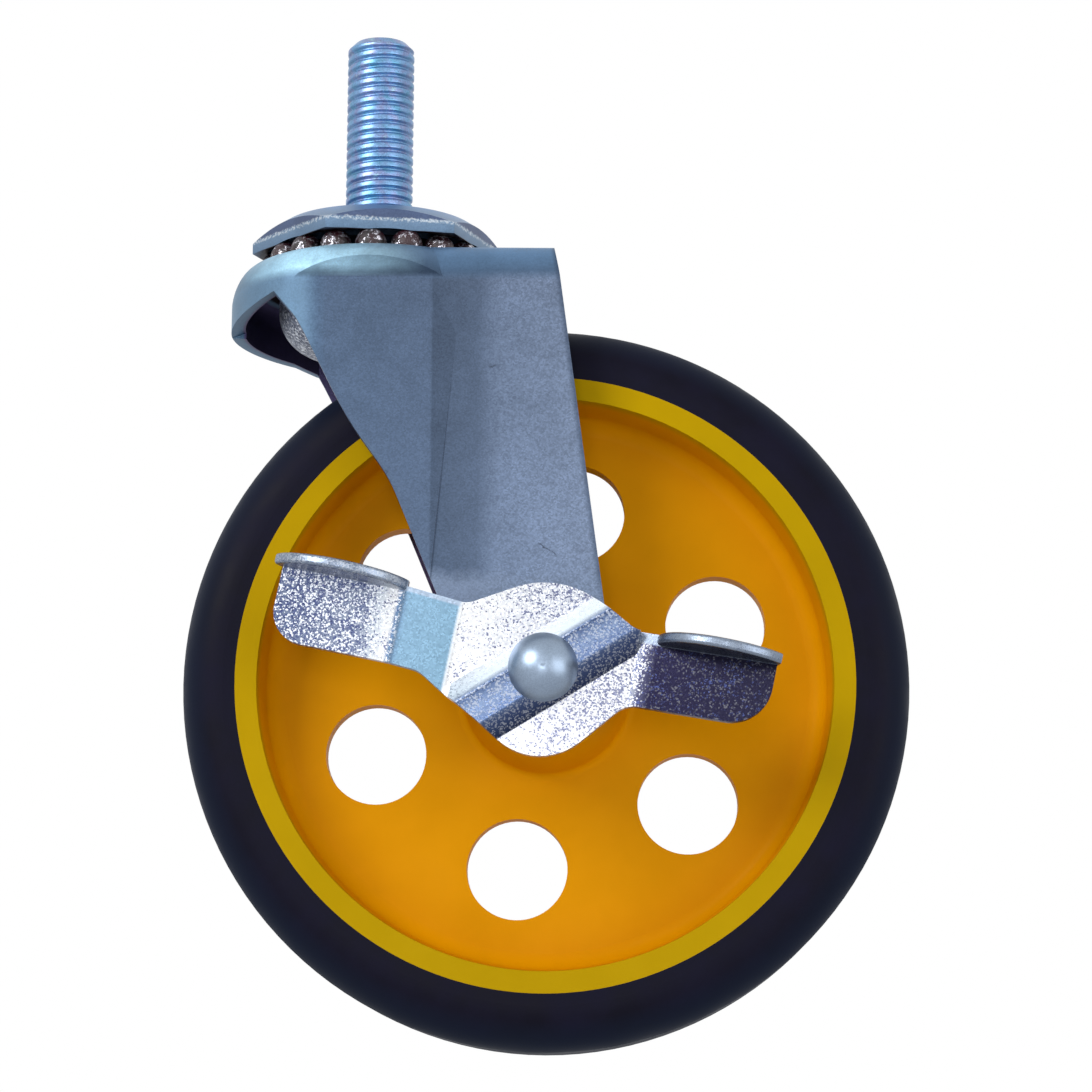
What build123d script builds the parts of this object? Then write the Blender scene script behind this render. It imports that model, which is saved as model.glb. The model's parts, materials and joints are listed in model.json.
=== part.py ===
from build123d import *
import os
from math import asin, atan2, cos, degrees, radians, sin, sqrt, tan

# Swivel castor with a threaded stem and a side brake.
# Millimetres, +Z up the stem. The origin lies on the swivel axis, on the mounting face
# (the top of the hexagonal plate). The wheel trails towards +X, and its axle runs along Y.
# The brake lever is on the -Y side.

# ---------------------------------------------------------------- driving dimensions
# overall
trail = 30.5                 # swivel axis to the axle, level
wheel_diameter = 125.0
tyre_width = 29.0
wheel_room = 0.88            # tyre to the lower race of the swivel head

# clearances
ball_clearance = 0.06        # ball to race groove, and roller to its tracks
shaft_clearance = 0.08       # radial, pins and bolts in their holes
side_gap = 0.25              # between flat faces that pass each other
margin = 1.0                 # cutting shapes run past what they cut by this

# threaded stem, an M12 bolt that also holds the swivel head together
stem_diameter = 12.0
stem_length = 35.0
stem_chamfer = 1.3
shank_diameter = 13.0        # below the mounting face, a press fit in the plate
stem_button_radius = 7.6     # its lower end is peened over into a button
stem_button_height = 1.5
stem_button_round = 1.2

# hexagonal plate on top of the swivel head
hex_across_corners = 45.0
hex_turn = 10.0              # turned about the stem
hex_thickness = 5.2
hex_crown_radius = 17.4      # where the chamfer starts on the top
hex_chamfer_slope = 33.0

# balls
ball_diameter = 5.5
upper_ball_ring = 18.0
upper_ball_count = 18
upper_ball_gap = 4.1         # plate to fork
lower_ball_ring = 12.6
lower_ball_count = 12
lower_ball_gap = 1.9         # fork to lower race

# lower race, a forged dome
race_radius = 17.5
race_drop = 22.8             # mounting face to its underside
race_corner = 7.3

# fork, one pressed sheet
sheet = 2.5
head_radius = 25.9
shoulder_radius = 5.8        # outside radius of the rolled edge
skirt_drop = 10.3            # top of the head to the front skirt's edge, straight ahead
skirt_drop_brake_side = 7.0  # the same beside the leg on the brake side
skirt_drop_far_side = 10.9   # and on the far side
skirt_notch = 16.5           # the skirt ends here, ahead of the swivel axis
leg_half_width = 22.5        # outside faces of the legs
leg_bend_radius = 4.8        # outside radius where a leg leaves the head
flute_depth = 0.35           # shallow upright hollow in each leg, deepest at its front
flute_front = 11.2
flute_rear = 21.9
flute_top = 15.0             # below the top of the head
flute_bottom = 60.0
crease_radius = 1.2          # hollow where the shoulder meets a leg
shoulder_taper = 5.0         # height over which the head narrows to the legs
flare_angle = 45.0           # outward lean of the shoulder's underside
leg_end_radius = 11.6
fork_top_rear = 32.3         # rear corner of the head, behind the swivel axis
leg_start_slope = (-0.5, 0.85)
leg_front_edge = [(-12.4, -21.5), (-9.4, -27.2), (-5.3, -35.4), (-1.4, -42.0), (5.1, -52.2)]

# wheel
tyre_wall = 9.6              # rim to tread
tyre_shoulder = 7.5
tread_extra = 1.0            # the shoulders are this much flatter than a quarter round
tyre_key_depth = 3.0
tyre_key_width = 12.0
rim_wall = 3.7
rim_draft = 4.0              # degrees, inner wall of the rim
web_thickness = 4.6
web_hole_share = 0.518       # a hole's width as a share of the web from hub to rim
web_hole_count = 6
web_hole_phase = 21.1
web_fillet = 3.0
hub_fillet = 1.5
hub_edge = 0.6
hub_radius = 12.8
hub_draft = 7.0              # degrees

# axle and bearing
axle_diameter = 8.0
axle_head_radius = 5.8
axle_head_height = 3.9
sleeve_wall = 2.0
roller_diameter = 3.0
roller_length = 22.0
roller_count = 12
cage_wall = 1.7
cage_end = 2.0
friction_washer_thickness = 1.5
friction_washer_radius = 11.5
nut_across_flats = 13.0
nut_height = 6.5
nut_insert_height = 1.6
nut_corner_slope = 30.0      # degrees, rounding of the nut's corners
nut_collar_radius = 5.85     # the collar that holds the nylon ring
nut_insert_radius = 4.68
nut_insert_sink = 0.32       # the ring lies this far inside the collar's rim
far_washer_radius = 8.0
far_washer_thickness = 1.6
axle_thread_spare = 1.2      # axle end beyond the nut
axle_chamfer = 0.8

# brake
cam_plate_radius = 11.0
cam_plate_thickness = 1.2
cam_ridge_width = 5.0
cam_ridge_height = 1.2
cam_ridge_flank = 1.2
cam_ridge_inset = 0.5        # the ridge stops short of the plate's rim
lever_sheet = 1.8
lever_tilt = 11.5            # degrees that the lever leans down towards the rear
lever_rib_angle = 43.0       # the rib's direction from the lever's own length
lever_rib_width = 12.0
lever_rib_height = 2.4
lever_rib_wall = 1.1          # level thickness of the sloping flanks
lever_rib_flank = 3.4        # run of each sloping flank
rib_edge = 1.2               # rounding of the rib's crown edges
lever_fold_radius = 2.2      # at the sheet's middle
lever_span = 60.0            # more than the lever's length to either side
tab_left_end = 45.6
tab_left_step = 5.0          # outward joggle of the front tab
tab_left_fold_out = 25.0
tab_left_fold_in = 15.6
tab_right_end = 37.8
tab_right_fold = 14.6
tab_right_lean = 16.0        # degrees outward
lip_depth = 8.0
lip_overhang = 1.4
lip_edge = 0.6               # rounding of a lip's outer edges
lip_root = 1.0               # straight part of a lip beyond the lever's face
tab_left_top = 9.4
tab_left_bottom = -4.7
tab_right_top = 9.4
tab_right_bottom = -3.1
lip_left_start = 24.6
lip_right_start = 18.4
crown_foot = -14.6           # where the middle of the lever widens from the front tab
belly_foot = -20.2
crown_peak = (-0.2, 16.9)
crown_fillet = 15.0
belly_peak = (2.9, -17.4)
belly_fillet = 10.5
tab_corner_radius = 5.5
neck_fillet = 4.0

# ---------------------------------------------------------------- worked-out places
ball_radius = ball_diameter / 2
shank_radius = shank_diameter / 2
wheel_radius = wheel_diameter / 2
rim_half = tyre_width / 2
rim_outer_radius = wheel_radius - tyre_wall
rim_inner_radius = rim_outer_radius - rim_wall
# the tyre runs just clear of the lower race's rounded corner
corner_reach = wheel_radius + wheel_room + race_corner
corner_run = trail - (race_radius - race_corner)
axle_drop = race_drop - race_corner + sqrt(corner_reach ** 2 - corner_run ** 2)
axle_x = trail
axle_z = -axle_drop
head_top = -hex_thickness - upper_ball_gap
head_under = head_top - sheet
upper_ball_z = (head_top - hex_thickness) / 2
race_top = head_under - lower_ball_gap
lower_ball_z = (head_under + race_top) / 2
leg_inner = leg_half_width - sheet
washer_inner = leg_inner - friction_washer_thickness
hub_half = washer_inner - side_gap
axle_radius = axle_diameter / 2
sleeve_outer = axle_radius + shaft_clearance + sleeve_wall
roller_ring = sleeve_outer + ball_clearance + roller_diameter / 2
hub_bore = roller_ring + roller_diameter / 2 + ball_clearance
lever_base = leg_half_width + cam_plate_thickness + cam_ridge_height + side_gap
head_seat = lever_base + lever_sheet + lever_rib_height + side_gap
far_stack = leg_half_width + far_washer_thickness


def about_stem(shape, angle):
    return Rot(0, 0, angle) * shape


def ring_of(shape, count, spin=about_stem):
    """Copies of a shape, evenly round an axis, as one group."""
    return Compound(children=[spin(shape, 360 * i / count) for i in range(count)])


def revolve_profile(points, fillets=()):
    """Revolve an outline of (radius, height) points about Z, with some corners rounded."""
    with BuildPart() as turned:
        with BuildSketch(Plane.XZ) as outline:
            with BuildLine():
                Polyline(*points, close=True)
            make_face()
            for place, radius in fillets:
                corner = outline.vertices().sort_by_distance((place[0], place[1], 0))[0]
                fillet(corner, radius)
        revolve(axis=Axis.Z)
    return turned.part


def cylinder_between(radius, low, high):
    """An upright cylinder from one height to another."""
    return Pos(0, 0, (low + high) / 2) * Cylinder(radius, high - low)


def on_axle(shape):
    """Lay a shape made about Z along the axle: its +Z end goes to the brake side, -Y."""
    return Pos(axle_x, 0, axle_z) * Rot(90, 0, 0) * shape


def race_groove(ring, height):
    """The torus that a race groove leaves room for."""
    return Pos(0, 0, height) * Torus(ring, ball_radius + ball_clearance)


# ---------------------------------------------------------------- swivel head
def make_threaded_stem():
    under = -race_drop - stem_button_height
    stem = cylinder_between(stem_diameter / 2, 0, stem_length)
    stem = chamfer(stem.edges().sort_by(Axis.Z)[-1], stem_chamfer)
    stem = stem + cylinder_between(shank_radius, -race_drop, 0)
    button = cylinder_between(stem_button_radius, under, -race_drop)
    button = fillet(button.edges().sort_by(Axis.Z)[0], stem_button_round)
    return stem + button


def make_hex_top_plate():
    plate = extrude(RegularPolygon(hex_across_corners / 2, 6), -hex_thickness)
    corner = hex_across_corners / 2 + margin
    under = -hex_thickness - margin
    fall = (corner - hex_crown_radius) * tan(radians(hex_chamfer_slope))
    crown = revolve_profile([(0, 0), (hex_crown_radius, 0), (corner, -fall),
                             (corner, under), (0, under)])
    plate = (plate & crown) - cylinder_between(shank_radius, under, margin)
    return about_stem(plate - race_groove(upper_ball_ring, upper_ball_z), hex_turn)


def make_upper_balls():
    ball = Pos(0, -upper_ball_ring, upper_ball_z) * Sphere(ball_radius)
    return ring_of(ball, upper_ball_count)


def make_lower_balls():
    ball = Pos(0, -lower_ball_ring, lower_ball_z) * Sphere(ball_radius)
    return ring_of(ball, lower_ball_count)


def make_lower_race():
    dome = revolve_profile([(shank_radius, race_top), (race_radius, race_top),
                            (race_radius, -race_drop), (shank_radius, -race_drop)],
                           [((race_radius, -race_drop), race_corner)])
    return dome - race_groove(lower_ball_ring, lower_ball_z)


# ---------------------------------------------------------------- fork
def fork_envelope(inset):
    """The space inside the fork's outer skin, shrunk by inset: a round head with a rolled
    edge that narrows to two upright legs."""
    top = head_top - inset
    floor = axle_z - 2 * leg_end_radius
    half = leg_half_width - inset
    radius = head_radius - inset
    drum = cylinder_between(radius, floor, top)
    drum = fillet(drum.edges().sort_by(Axis.Z)[-1], shoulder_radius - inset)
    waist = head_top - shoulder_taper + inset * tan(radians(flare_angle / 2))
    rise = radius
    spread = rise * tan(radians(flare_angle))
    with BuildSketch(Plane.YZ) as narrowing:
        Polygon((-half, floor), (-half, waist), (-half - spread, waist + rise),
                (half + spread, waist + rise), (half, waist), (half, floor), align=None)
    drum = drum & extrude(narrowing.sketch, 2 * radius, both=True)
    length = axle_x + 2 * leg_end_radius
    channel = Pos(length / 2, 0, (top + floor) / 2) * Box(length, 2 * half, top - floor)
    top_edges = channel.edges().filter_by(Axis.X).group_by(Axis.Z)[-1]
    return drum + fillet(top_edges, leg_bend_radius - inset)


def soften_crease(shape):
    """Round the hollow line where the head's shoulder meets the legs."""
    waist = head_top - shoulder_taper
    line = [e for e in shape.edges() if abs(e.center().Z - waist) < 0.01
            and abs(e.tangent_at(0.5).Z) < 0.01]
    return fillet(line, crease_radius)


def leg_flute():
    """The shallow upright hollow that is pressed into the outside of each leg."""
    face = leg_half_width
    with BuildSketch(Plane.XY.offset(head_top - flute_bottom)) as plan:
        for side in (1, -1):
            Polygon((flute_front, side * face), (flute_front, side * (face - flute_depth)),
                    (flute_rear, side * face), align=None)
    return extrude(plan.sketch, flute_bottom - flute_top)


def tangent_touch(start, centre, radius, side):
    """Where a straight line from start touches a circle, on the side given by 1 or -1."""
    gap = centre - start
    reach = sqrt(gap.length ** 2 - radius ** 2)
    swing = degrees(asin(radius / gap.length))
    towards = degrees(atan2(gap.Y, gap.X))
    return start + Vector(reach, 0).rotate(Axis.Z, towards + side * swing)


def fork_outline(side_drop):
    """Side view of the fork: the head, its front skirt and one leg."""
    ahead = -head_radius - margin
    above = head_top + margin
    skirt_front = (-head_radius, head_top - skirt_drop)
    skirt_end = (-skirt_notch, head_top - side_drop)
    rear_top = Vector(fork_top_rear, head_top)
    leg_last = Vector(*leg_front_edge[-1])
    axle = Vector(axle_x, axle_z)
    rear_touch = tangent_touch(rear_top, axle, leg_end_radius, 1)
    front_touch = tangent_touch(leg_last, axle, leg_end_radius, -1)
    bottom = axle - Vector(0, leg_end_radius)
    slope = (leg_last - front_touch).normalized()
    with BuildSketch(Plane.XZ) as side:
        with BuildLine():
            Polyline((ahead, head_top - skirt_drop), (ahead, above), (fork_top_rear, above), rear_top,
                     rear_touch)
            ThreePointArc(rear_touch, bottom, front_touch)
            Line(front_touch, leg_last)
            Spline(*reversed(leg_front_edge), tangents=[slope, leg_start_slope])
            Polyline(leg_front_edge[0], skirt_end, skirt_front, (ahead, head_top - skirt_drop))
        make_face()
    return side.sketch


def make_fork():
    shell = soften_crease(fork_envelope(0)) - fork_envelope(sheet)
    reach = 2 * head_radius
    near = extrude(fork_outline(skirt_drop_brake_side), reach)
    far = extrude(fork_outline(skirt_drop_far_side), -reach)
    shell = (shell & (near + far)) - leg_flute()
    shell = shell - cylinder_between(shank_radius + shaft_clearance, head_under - margin,
                                     head_top + margin)
    shell = shell - race_groove(upper_ball_ring, upper_ball_z)
    shell = shell - race_groove(lower_ball_ring, lower_ball_z)
    axle_hole = on_axle(Cylinder(axle_radius, 4 * leg_half_width))
    return shell - axle_hole


# ---------------------------------------------------------------- wheel
def make_wheel_centre():
    web = web_thickness / 2
    rim_foot = rim_inner_radius - (rim_half - web) * tan(radians(rim_draft))
    hub_foot = hub_radius + (hub_half - web) * tan(radians(hub_draft))
    hole_ring = (rim_foot + hub_foot) / 2
    hole_radius = web_hole_share * (rim_foot - hub_foot) / 2
    key = tyre_key_width / 2
    floor = rim_outer_radius - tyre_key_depth
    outline = [(hub_bore, -hub_half), (hub_radius, -hub_half), (hub_foot, -web), (rim_foot, -web),
               (rim_inner_radius, -rim_half), (rim_outer_radius, -rim_half),
               (rim_outer_radius, -key), (floor, -key), (floor, key), (rim_outer_radius, key),
               (rim_outer_radius, rim_half), (rim_inner_radius, rim_half), (rim_foot, web),
               (hub_foot, web), (hub_radius, hub_half), (hub_bore, hub_half)]
    soft = [((rim_foot, z), web_fillet) for z in (-web, web)]
    soft += [((hub_foot, z), hub_fillet) for z in (-web, web)]
    soft += [((hub_radius, z), hub_edge) for z in (-hub_half, hub_half)]
    centre = revolve_profile(outline, soft)
    for i in range(web_hole_count):
        turn = 360 * i / web_hole_count + web_hole_phase
        place = Rot(0, 0, turn) * Pos(hole_ring, 0, 0)
        centre = centre - place * Cylinder(hole_radius, 2 * web_thickness)
    return on_axle(centre)


def make_tyre():
    """A ring with rounded shoulders and a key inside that sits in the rim's groove."""
    key = tyre_key_width / 2
    floor = rim_outer_radius - tyre_key_depth
    shoulder = wheel_radius - tyre_shoulder
    tread = rim_half - tyre_shoulder + tread_extra
    with BuildPart() as tyre:
        with BuildSketch(Plane.XZ):
            with BuildLine():
                RadiusArc((shoulder, -rim_half), (wheel_radius, -tread), -tyre_shoulder)
                Line((wheel_radius, -tread), (wheel_radius, tread))
                RadiusArc((wheel_radius, tread), (shoulder, rim_half), -tyre_shoulder)
                Polyline((shoulder, rim_half), (rim_outer_radius, rim_half), (rim_outer_radius, key),
                         (floor, key), (floor, -key), (rim_outer_radius, -key),
                         (rim_outer_radius, -rim_half), (shoulder, -rim_half))
            make_face()
        revolve(axis=Axis.Z)
    return on_axle(tyre.part)


def make_axle_sleeve():
    tube = Cylinder(sleeve_outer, 2 * washer_inner) - Cylinder(axle_radius, 4 * washer_inner)
    return on_axle(tube)


def make_bearing_rollers():
    roller = Pos(roller_ring, 0, 0) * Cylinder(roller_diameter / 2, roller_length)
    return on_axle(ring_of(roller, roller_count))


def make_roller_cage():
    length = roller_length + 2 * shaft_clearance + 2 * cage_end
    outer = roller_ring + cage_wall / 2
    cage = Cylinder(outer, length) - Cylinder(outer - cage_wall, 2 * length)
    slot = Pos(roller_ring, 0, 0) * Box(3 * cage_wall, roller_diameter + 2 * shaft_clearance,
                                        roller_length + 2 * shaft_clearance)
    for i in range(roller_count):
        cage = cage - Rot(0, 0, 360 * i / roller_count) * slot
    return on_axle(cage)


def make_friction_washer(side):
    """A hardened washer between the hub and one leg; side is -1 on the brake side."""
    low = washer_inner if side < 0 else -leg_inner
    ring = cylinder_between(friction_washer_radius, low, low + friction_washer_thickness)
    return on_axle(ring - Cylinder(axle_radius, 4 * leg_inner))


def make_axle_bolt():
    end = -(far_stack + nut_height + nut_insert_height + axle_thread_spare)
    shank = cylinder_between(axle_radius, end, head_seat)
    shank = chamfer(shank.edges().sort_by(Axis.Z)[0], axle_chamfer)
    dome_radius = (axle_head_radius ** 2 + axle_head_height ** 2) / (2 * axle_head_height)
    dome = Pos(0, 0, head_seat + axle_head_height - dome_radius) * Sphere(dome_radius)
    dome = dome & cylinder_between(axle_head_radius, head_seat, head_seat + axle_head_height + margin)
    return on_axle(shank + dome)


def make_far_washer():
    ring = cylinder_between(far_washer_radius, -far_stack, -leg_half_width)
    return on_axle(ring - Cylinder(axle_radius, 4 * far_stack))


def make_lock_nut():
    nut_radius = nut_across_flats / sqrt(3)
    blank = Pos(0, 0, -far_stack) * extrude(RegularPolygon(nut_radius, 6), -nut_height)
    top = -far_stack - nut_height
    fall = (nut_radius - nut_across_flats / 2) * tan(radians(nut_corner_slope))
    face = nut_across_flats / 2
    round_off = revolve_profile([(0, -far_stack), (face, -far_stack), (nut_radius, -far_stack - fall),
                                 (nut_radius, top + fall), (face, top), (0, top)])
    collar = cylinder_between(nut_collar_radius, top - nut_insert_height, top)
    collar = collar - cylinder_between(nut_insert_radius, top - nut_insert_height - margin, top)
    return on_axle((blank & round_off) + collar - Cylinder(axle_radius, 6 * far_stack))


def make_lock_nut_insert():
    top = -far_stack - nut_height
    ring = cylinder_between(nut_insert_radius, top - nut_insert_height + nut_insert_sink, top)
    return on_axle(ring - Cylinder(axle_radius, 6 * far_stack))


# ---------------------------------------------------------------- brake
def lever_plane(height):
    """The lever's own plane: X along the lever, Y up across it, Z outward."""
    lean = radians(lever_tilt)
    return Plane(origin=(axle_x, -height, axle_z), x_dir=(cos(lean), 0, -sin(lean)),
                 z_dir=(0, -1, 0))


def lever_outline():
    """The flat outline of the lever, without its lips."""
    with BuildSketch() as outline:
        with BuildLine():
            Polyline((-tab_left_end, tab_left_bottom), (belly_foot, tab_left_bottom), belly_peak,
                     (tab_right_fold, tab_right_bottom), (tab_right_end, tab_right_bottom),
                     (tab_right_end, tab_right_top), (tab_right_fold - 1, tab_right_top), crown_peak,
                     (crown_foot, tab_left_top - 1), (-lip_left_start, tab_left_top - 1),
                     (-lip_left_start, tab_left_top), (-tab_left_end, tab_left_top), close=True)
        make_face()
        for place, radius in [((-tab_left_end, tab_left_bottom), tab_corner_radius),
                              ((tab_right_end, tab_right_bottom), tab_corner_radius + 1),
                              ((belly_foot, tab_left_bottom), neck_fillet),
                              ((tab_right_fold, tab_right_bottom), neck_fillet),
                              ((tab_right_fold - 1, tab_right_top), neck_fillet),
                              ((crown_foot, tab_left_top - 1), neck_fillet),
                              (crown_peak, crown_fillet), (belly_peak, belly_fillet)]:
            corner = outline.vertices().sort_by_distance((place[0], place[1], 0))[0]
            fillet(corner, radius)
    return outline.sketch


def lever_strip():
    """The folded strip seen edge on, along the lever, extruded across it."""
    lean = radians(tab_right_lean)
    far_right = tab_right_end + lip_depth
    rise = (far_right - tab_right_fold) * tan(lean)
    inner = [(-tab_left_end - lip_depth, tab_left_step), (-tab_left_fold_out, tab_left_step),
             (-tab_left_fold_in, 0), (tab_right_fold, 0), (far_right, rise)]
    with BuildSketch(Plane.XZ) as section:
        with BuildLine():
            FilletPolyline(*inner, radius=lever_fold_radius)
            offset(amount=lever_sheet / 2, side=Side.BOTH)
        make_face()
    return Pos(0, 0, lever_sheet / 2) * extrude(section.sketch, lever_span, both=True)


def rib_prism(width, height, flank, length):
    """A long ridge of trapezoid section with rounded crown edges, across the lever."""
    half = width / 2
    with BuildSketch(Plane.YZ) as section:
        with BuildLine():
            Polyline((-half, 0), (-half + flank, height), (half - flank, height), (half, 0), close=True)
        make_face()
        crown = section.vertices().group_by(Axis.Y)[-1]
        fillet(crown, rib_edge)
    return Rot(0, 0, lever_rib_angle) * extrude(section.sketch, length, both=True)


def make_lip(start, end, top):
    """A pedal lip: a D-shaped flange that stands outward from the top of a tab, with its
    root on the tab's inner face."""
    middle = (start + end) / 2
    root = lever_sheet + lip_root
    with BuildSketch() as shape:
        with BuildLine():
            ThreePointArc((start, root), (middle, lever_sheet + lip_depth), (end, root))
            Polyline((end, root), (end - lip_overhang, 0), (start + lip_overhang, 0), (start, root))
        make_face()
    flange = extrude(shape.sketch, lever_sheet)
    rim = [e for e in flange.edges().filter_by(GeomType.CIRCLE)]
    return Pos(0, top, 0) * Rot(90, 0, 0) * fillet(rim, lip_edge)


def make_brake_lever():
    outline = extrude(lever_outline(), lever_span)
    inner_rib = rib_prism(lever_rib_width - 2 * lever_rib_wall, lever_rib_height,
                          lever_rib_flank, lever_span)
    outer_rib = Pos(0, 0, lever_sheet) * rib_prism(lever_rib_width, lever_rib_height,
                                                   lever_rib_flank, lever_span)
    centre = Box(2 * tab_right_fold, lever_span, lever_span)
    plate = (lever_strip() + (outer_rib & centre) - (inner_rib & centre)) & outline
    left = Pos(0, 0, tab_left_step) * make_lip(-tab_left_end - lip_overhang, -lip_left_start,
                                               tab_left_top)
    lean = cos(radians(tab_right_lean))
    right = make_lip((lip_right_start - tab_right_fold) / lean,
                     (tab_right_end - tab_right_fold) / lean + lip_overhang, tab_right_top)
    right = Pos(tab_right_fold, 0, 0) * Rot(0, -tab_right_lean, 0) * right
    lever = plate + left + right
    lever = lever - Cylinder(axle_radius + shaft_clearance, lever_span)
    return lever_plane(lever_base) * lever


def make_brake_cam_plate():
    disc = extrude(Circle(cam_plate_radius), cam_plate_thickness)
    ridge = Pos(0, 0, cam_plate_thickness) * rib_prism(cam_ridge_width, cam_ridge_height,
                                                       cam_ridge_flank, cam_plate_radius)
    ridge = ridge & Cylinder(cam_plate_radius - cam_ridge_inset, lever_span)
    cam = disc + ridge - Cylinder(axle_radius, lever_span)
    return lever_plane(leg_half_width) * cam


# ---------------------------------------------------------------- write the parts
os.makedirs("parts", exist_ok=True)
nodes = {
    "threaded_stem": make_threaded_stem(),
    "hex_top_plate": make_hex_top_plate(),
    "upper_balls": make_upper_balls(),
    "fork": make_fork(),
    "lower_balls": make_lower_balls(),
    "lower_race": make_lower_race(),
    "wheel_centre": make_wheel_centre(),
    "tyre": make_tyre(),
    "axle_sleeve": make_axle_sleeve(),
    "bearing_rollers": make_bearing_rollers(),
    "roller_cage": make_roller_cage(),
    "friction_washer_near": make_friction_washer(-1),
    "friction_washer_far": make_friction_washer(1),
    "axle_bolt": make_axle_bolt(),
    "axle_washer": make_far_washer(),
    "axle_lock_nut": make_lock_nut(),
    "lock_nut_insert": make_lock_nut_insert(),
    "brake_lever": make_brake_lever(),
    "brake_cam_plate": make_brake_cam_plate(),
}
for name, shape in nodes.items():
    export_step(shape, f"parts/{name}.step")
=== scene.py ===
import json
from math import cos, radians, sin, tau

import bmesh
import bpy
from mathutils import Matrix, Vector


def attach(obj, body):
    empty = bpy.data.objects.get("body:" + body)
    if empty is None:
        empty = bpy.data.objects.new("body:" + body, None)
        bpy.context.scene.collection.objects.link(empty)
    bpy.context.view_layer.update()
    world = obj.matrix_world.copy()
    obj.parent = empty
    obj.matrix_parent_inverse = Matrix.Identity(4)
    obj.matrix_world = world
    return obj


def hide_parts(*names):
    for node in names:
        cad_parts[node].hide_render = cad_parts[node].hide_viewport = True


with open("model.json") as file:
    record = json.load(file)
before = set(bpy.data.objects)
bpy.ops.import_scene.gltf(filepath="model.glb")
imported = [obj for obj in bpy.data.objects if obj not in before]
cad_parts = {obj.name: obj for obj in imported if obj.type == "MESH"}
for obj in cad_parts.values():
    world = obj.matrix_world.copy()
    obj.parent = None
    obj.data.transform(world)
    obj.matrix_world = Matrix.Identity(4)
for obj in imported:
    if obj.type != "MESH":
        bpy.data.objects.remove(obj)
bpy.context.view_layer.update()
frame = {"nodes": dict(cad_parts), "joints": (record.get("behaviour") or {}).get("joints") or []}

MM = 0.001
NEAR = 0.01 * MM             # places closer than this are the same
X, Y, Z = (Vector(axis) for axis in ((1, 0, 0), (0, 1, 0), (0, 0, 1)))

# ---------------------------------------------------------------- sizes, in metres
# stem and its thread
STEM_RADIUS = 6.0 * MM
STEM_LENGTH = 35.0 * MM
STEM_CHAMFER = 1.3 * MM
THREAD_ROOT = 5.5 * MM
THREAD_PITCH = 1.75 * MM
THREAD_CREST = 0.20          # the flank runs from here to the foot, in pitches from the ridge
THREAD_FOOT = 0.46
THREAD_SIDES = 96            # points round the rod
THREAD_ROWS = 260            # and along it
THREAD_EDGE = radians(40)    # a sharper fold than this is drawn as an edge

# hexagonal plate, with heights from its top face
PLATE_UNDER = -5.2 * MM
BURR_FOOT = -3.5 * MM        # the press left a rough line between these two heights
BURR_TOP = -2.9 * MM
FLATS_FOOT = -3.0 * MM       # the flats look darker above this
GREASE_SHADE_RADIUS = 20.6 * MM    # grease from the balls, darkened with painted shade of the narrow gap, reaches out to here

# fork: its head
HEAD_TOP = -9.3 * MM
HEAD_RADIUS = 25.9 * MM
HEAD_CORE = 23.8 * MM        # the head's hollow lies inside this radius
HOLLOW_TOP = -11.3 * MM
SHOULDER = 5.8 * MM          # height of the head's rolled edge
ROLL_MIDDLE = HEAD_TOP - 4.2 * MM    # the rolled edge has a painted highlight above this, and a painted sheen below
HIGHLIGHT_FRONT = -19.0 * MM       # the painted highlight lies between these two, along the fork
HIGHLIGHT_REAR = 3.0 * MM
SHEEN_REAR = -8.0 * MM        # the painted sheen under the rolled edge lies ahead of this
SHEEN_INSIDE = 24.6 * MM      # and outside this radius
BEND_FRONT = 8.0 * MM        # behind this, the bend over each leg has two painted bands:
BEND_FOOT = HEAD_TOP - 4.9 * MM      # painted shade from here up
CREST_FOOT = HEAD_TOP - 2.2 * MM     # and a painted highlight from here up
GREASE_SHADE_FOOT = HEAD_TOP - 2.4 * MM    # grease and painted shade lie above this
GROOVE_EDGE = 20.0 * MM      # outer edge of the ball groove
LIP_RISE = 1.1 * MM          # the lip outside the balls stands this far above their groove
LIP_SPREAD = 0.8 * MM        # and leans out by this at its inner edge
REAR_CORNER = 32.3 * MM      # rear end of the head
CORNER_PINCH = 0.45 * MM     # the press draws the top rear corners in by this
CORNER_RUN = 6.0 * MM        # over this much of the head's length

# fork: its legs
LEG_FACE = 22.5 * MM
LEG_HOLLOW = 20.5 * MM       # the fork's hollow lies inside this half width
FLUTE_FRONT = 11.2 * MM
FLUTE_REAR = 21.9 * MM
FLUTE_TOP = -24.3 * MM
FLUTE_FADE = -16.5 * MM      # the flute runs out at this height
FLUTE_SLOPE = 4.0 * MM       # width of the slope at the flute's upper front
PALE_FOOT = -66.5 * MM       # the legs are paler below this
LEG_UPPER = -16.0 * MM       # they darken a little from the lower height to the upper
LEG_LOWER = -70.0 * MM
HOLLOW_FRONT = 5.0 * MM      # the hollow between the legs lies behind this
REAR_LEAN = 0.135            # the legs' rear edges lean back as they go down
REAR_EDGE = 0.7 * MM         # width of the dark line along them
# short dark marks on the brake side: x and z in millimetres, angle in degrees, half length
SCRATCHES = ((2.6, -49.5, 40, 1.4), (21.5, -30.2, 25, 0.5), (31.0, -62.0, -35, 1.8))

# wheel
RIM_FACE = 14.5 * MM         # half the rim's width
RIM_INSIDE = 44.0 * MM       # the rim's flat faces lie outside this radius
WEB_HALF = 2.3 * MM
WHEEL_RADIUS = 62.5 * MM
TREAD_HIGHLIGHT_BAND = 5.0 * MM        # the tread's painted highlight fades in over this
AXLE = Vector(next(j for j in frame["joints"] if j["name"] == "wheel_spin")["pos_m"])

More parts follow.
